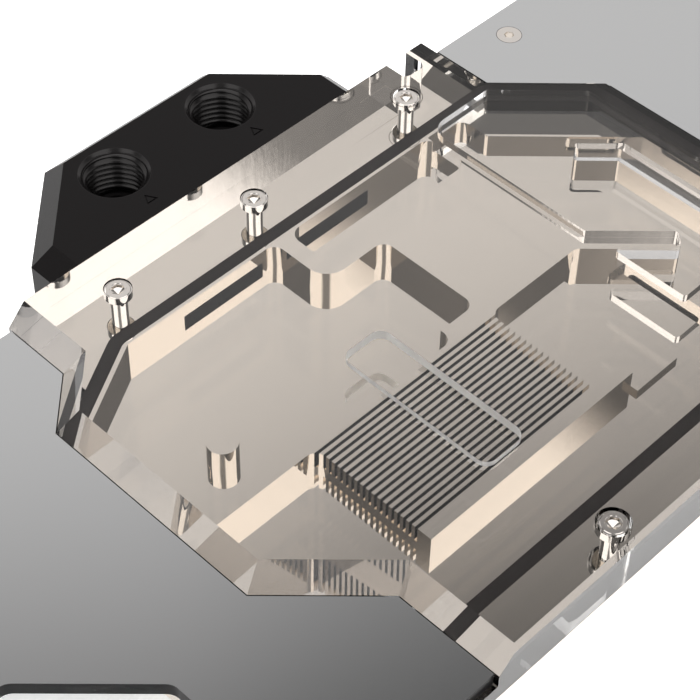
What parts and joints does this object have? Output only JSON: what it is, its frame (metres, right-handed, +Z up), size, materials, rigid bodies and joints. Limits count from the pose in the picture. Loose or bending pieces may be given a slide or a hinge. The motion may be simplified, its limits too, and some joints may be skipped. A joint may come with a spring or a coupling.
{
  "type": "gpu water block",
  "caption": "Full-cover liquid cooler for a graphics card: nickel-plated cold plate, clear bevelled top, steel cover plates and a black terminal with threaded ports.",
  "frame": {"origin": "centre of the face on the underside that meets the processor", "axes": "+X along the card's long side, +Y towards the coolant ports, +Z up from the circuit board to the clear top"},
  "size_m": [0.255, 0.1468, 0.0249],
  "materials": {
    "nickel_plate": "polished nickel plating on copper",
    "clear_acrylic": "clear polished acrylic with frosted milled walls",
    "cover_steel": "smooth steel top with black sides",
    "black_acetal": "satin black acetal",
    "seal_rubber": "black rubber",
    "screw_nickel": "nickel-plated steel",
    "standoff_brass": "turned brass"
  },
  "bodies": {
    "root": {"cold_plate": "nickel_plate", "acrylic_top": "clear_acrylic", "cover_plate_left": "cover_steel", "cover_plate_right": "cover_steel", "terminal_block": "black_acetal", "main_seal": "seal_rubber", "duct_seals": "seal_rubber", "top_screws": "screw_nickel", "ledge_screws": "screw_nickel", "cover_screws": "screw_nickel", "terminal_screws": "screw_nickel", "processor_standoffs": "standoff_brass", "board_standoffs": "standoff_brass"}
  },
  "joints": []
}
